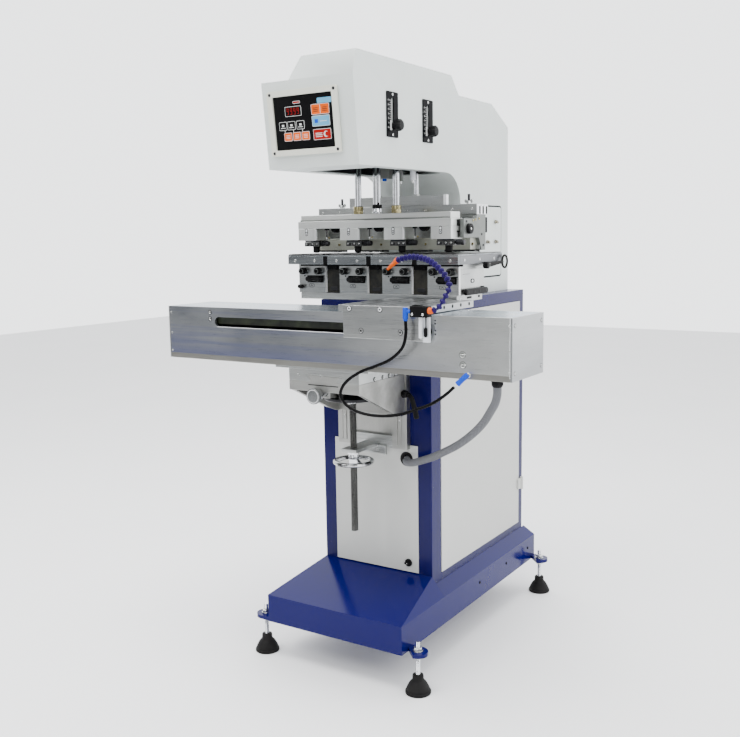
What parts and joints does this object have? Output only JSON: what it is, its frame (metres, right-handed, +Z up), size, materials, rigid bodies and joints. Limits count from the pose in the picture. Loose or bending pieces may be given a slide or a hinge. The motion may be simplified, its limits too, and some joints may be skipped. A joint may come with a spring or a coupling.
{
  "type": "pad printing machine",
  "caption": "Floor-standing four-station pad printing machine with a sliding shuttle beam, a C-shaped print head, a height-adjusting handwheel and levelling feet.",
  "frame": {"origin": "middle of the overall box on the floor", "axes": "+X to the operator's right along the shuttle beam, +Y to the back of the machine, +Z up"},
  "size_m": [1.057, 0.9578, 1.621],
  "materials": {
    "blue_paint": "gloss paint",
    "grey_paint": "satin powder coat",
    "white_paint": "satin powder coat",
    "aluminium": "brushed",
    "steel": "ground",
    "chrome": "polished",
    "black_plastic": "moulded",
    "black_rubber": "moulded",
    "blue_fitting": "moulded",
    "purple_plastic": "moulded",
    "grey_braid": "braided sleeve",
    "black_hose": "extruded tube"
  },
  "bodies": {
    "frame": {"base_frame": "blue_paint", "levelling_foot_front_left": "black_rubber", "levelling_foot_front_right": "black_rubber", "levelling_foot_rear_left": "black_rubber", "levelling_foot_rear_right": "black_rubber", "column_shell": "blue_paint", "front_panel": "white_paint", "guide_rails": "aluminium", "nut_bracket": "aluminium", "conduit": "grey_braid", "printing_bed": "aluminium", "plate_tray": "aluminium", "cliche_plate_1": "steel", "cliche_plate_2": "steel", "cliche_plate_3": "steel", "cliche_plate_4": "steel", "head_shell": "grey_paint", "control_panel": "black_plastic", "stroke_scale_front": "black_plastic", "stroke_scale_rear": "black_plastic", "side_cover": "grey_paint"},
    "door": {"door_right": "white_paint"},
    "lock": {"panel_lock": "black_plastic"},
    "wheel": {"handwheel": "chrome"},
    "lift": {"leadscrew": "steel", "saddle_bracket": "aluminium", "conduit_gland": "black_plastic"},
    "clamp": {"clamp_lever": "black_plastic"},
    "cross": {"cross_slide": "aluminium", "beam_housing": "aluminium", "rodless_cylinder": "steel", "hose_fitting": "blue_fitting", "air_hose": "black_hose"},
    "cross_knob": {"cross_knob": "aluminium"},
    "shuttle": {"carriage": "aluminium", "blow_valve": "black_plastic", "gooseneck": "purple_plastic"},
    "plate_lock": {"plate_lock_lever": "black_plastic"},
    "bed_lock": {"bed_lever": "black_plastic"},
    "stroke_front": {"stroke_knob_front": "black_plastic"},
    "stroke_rear": {"stroke_knob_rear": "black_plastic"},
    "ink_slide": {"ink_crossbar": "aluminium"},
    "pad_lift": {"rod_yoke": "chrome", "pad_bar": "aluminium", "print_pad_1": "black_rubber", "print_pad_2": "black_rubber", "print_pad_3": "black_rubber", "print_pad_4": "black_rubber"},
    "roller_1": {"register_roller_1": "black_plastic"},
    "screw_1_left": {"register_screw_1_left": "black_plastic"},
    "screw_1_right": {"register_screw_1_right": "black_plastic"},
    "roller_2": {"register_roller_2": "black_plastic"},
    "screw_2_left": {"register_screw_2_left": "black_plastic"},
    "screw_2_right": {"register_screw_2_right": "black_plastic"},
    "roller_3": {"register_roller_3": "black_plastic"},
    "screw_3_left": {"register_screw_3_left": "black_plastic"},
    "screw_3_right": {"register_screw_3_right": "black_plastic"},
    "roller_4": {"register_roller_4": "black_plastic"},
    "screw_4_left": {"register_screw_4_left": "black_plastic"},
    "screw_4_right": {"register_screw_4_right": "black_plastic"}
  },
  "joints": [
    {"name": "door_hinge", "type": "hinge", "parent": "frame", "child": "door", "pos_m": [0.1745, 0.43675, 0.6], "axis": [0, 0, 1], "range_deg": [0, 110]},
    {"name": "panel_lock_turn", "type": "hinge", "parent": "frame", "child": "lock", "pos_m": [0.0945, -0.17325, 0.263], "axis": [0, 1, 0], "range_deg": [0, 90]},
    {"name": "lift_slide", "type": "slide", "parent": "frame", "child": "lift", "axis": [0, 0, 1], "range_m": [-0.08, 0.02], "deforming": ["conduit"]},
    {"name": "handwheel_turn", "type": "hinge", "parent": "frame", "child": "wheel", "pos_m": [-0.0125, -0.28125, 0.568], "axis": [0, 0, 1], "range_deg": [-7200, 1800]},
    {"name": "clamp_lever_turn", "type": "hinge", "parent": "lift", "child": "clamp", "pos_m": [0.1055, -0.20025, 0.752], "axis": [1, 0, 0], "range_deg": [-60, 15]},
    {"name": "cross_slide_move", "type": "slide", "parent": "lift", "child": "cross", "axis": [0, 1, 0], "range_m": [-0.01, 0.01]},
    {"name": "cross_knob_turn", "type": "hinge", "parent": "lift", "child": "cross_knob", "pos_m": [-0.0305, -0.42925, 0.771], "axis": [0, 1, 0], "range_deg": [-1800, 1800]},
    {"name": "shuttle_slide", "type": "slide", "parent": "cross", "child": "shuttle", "axis": [1, 0, 0], "range_m": [-0.435, 0], "deforming": ["air_hose"]},
    {"name": "plate_lock_turn", "type": "hinge", "parent": "frame", "child": "plate_lock", "pos_m": [0.2715, -0.03625, 1.096], "axis": [1, 0, 0], "range_deg": [0, 60]},
    {"name": "bed_lever_turn", "type": "hinge", "parent": "frame", "child": "bed_lock", "pos_m": [0.2535, -0.01925, 1.028], "axis": [1, 0, 0], "range_deg": [0, 60]},
    {"name": "stroke_knob_front_slide", "type": "slide", "parent": "frame", "child": "stroke_front", "axis": [0, 0, 1], "range_m": [-0.007, 0.064]},
    {"name": "stroke_knob_rear_slide", "type": "slide", "parent": "frame", "child": "stroke_rear", "axis": [0, 0, 1], "range_m": [-0.007, 0.064]},
    {"name": "ink_slide_move", "type": "slide", "parent": "frame", "child": "ink_slide", "axis": [0, 1, 0], "range_m": [-0.15, 0]},
    {"name": "pad_lift_move", "type": "slide", "parent": "ink_slide", "child": "pad_lift", "axis": [0, 0, 1], "range_m": [-0.002, 0.06]},
    {"name": "register_roller_1_turn", "type": "hinge", "parent": "frame", "child": "roller_1", "pos_m": [-0.214, -0.16575, 1.059], "axis": [1, 0, 0], "continuous": true},
    {"name": "register_screw_1_left_turn", "type": "hinge", "parent": "frame", "child": "screw_1_left", "pos_m": [-0.254, -0.16825, 1.082], "axis": [0, 1, 0], "continuous": true},
    {"name": "register_screw_1_right_turn", "type": "hinge", "parent": "frame", "child": "screw_1_right", "pos_m": [-0.2, -0.16825, 1.082], "axis": [0, 1, 0], "continuous": true},
    {"name": "register_roller_2_turn", "type": "hinge", "parent": "frame", "child": "roller_2", "pos_m": [-0.071, -0.16575, 1.059], "axis": [1, 0, 0], "continuous": true},
    {"name": "register_screw_2_left_turn", "type": "hinge", "parent": "frame", "child": "screw_2_left", "pos_m": [-0.111, -0.16825, 1.082], "axis": [0, 1, 0], "continuous": true},
    {"name": "register_screw_2_right_turn", "type": "hinge", "parent": "frame", "child": "screw_2_right", "pos_m": [-0.057, -0.16825, 1.082], "axis": [0, 1, 0], "continuous": true},
    {"name": "register_roller_3_turn", "type": "hinge", "parent": "frame", "child": "roller_3", "pos_m": [0.072, -0.16575, 1.059], "axis": [1, 0, 0], "continuous": true},
    {"name": "register_screw_3_left_turn", "type": "hinge", "parent": "frame", "child": "screw_3_left", "pos_m": [0.032, -0.16825, 1.082], "axis": [0, 1, 0], "continuous": true},
    {"name": "register_screw_3_right_turn", "type": "hinge", "parent": "frame", "child": "screw_3_right", "pos_m": [0.086, -0.16825, 1.082], "axis": [0, 1, 0], "continuous": true},
    {"name": "register_roller_4_turn", "type": "hinge", "parent": "frame", "child": "roller_4", "pos_m": [0.215, -0.16575, 1.059], "axis": [1, 0, 0], "continuous": true},
    {"name": "register_screw_4_left_turn", "type": "hinge", "parent": "frame", "child": "screw_4_left", "pos_m": [0.175, -0.16825, 1.082], "axis": [0, 1, 0], "continuous": true},
    {"name": "register_screw_4_right_turn", "type": "hinge", "parent": "frame", "child": "screw_4_right", "pos_m": [0.229, -0.16825, 1.082], "axis": [0, 1, 0], "continuous": true}
  ],
  "couplings": [
    {"joint": "handwheel_turn", "follows": "lift_slide", "rad_per_m": 1570.8},
    {"joint": "cross_knob_turn", "follows": "cross_slide_move", "rad_per_m": 3141.6}
  ]
}
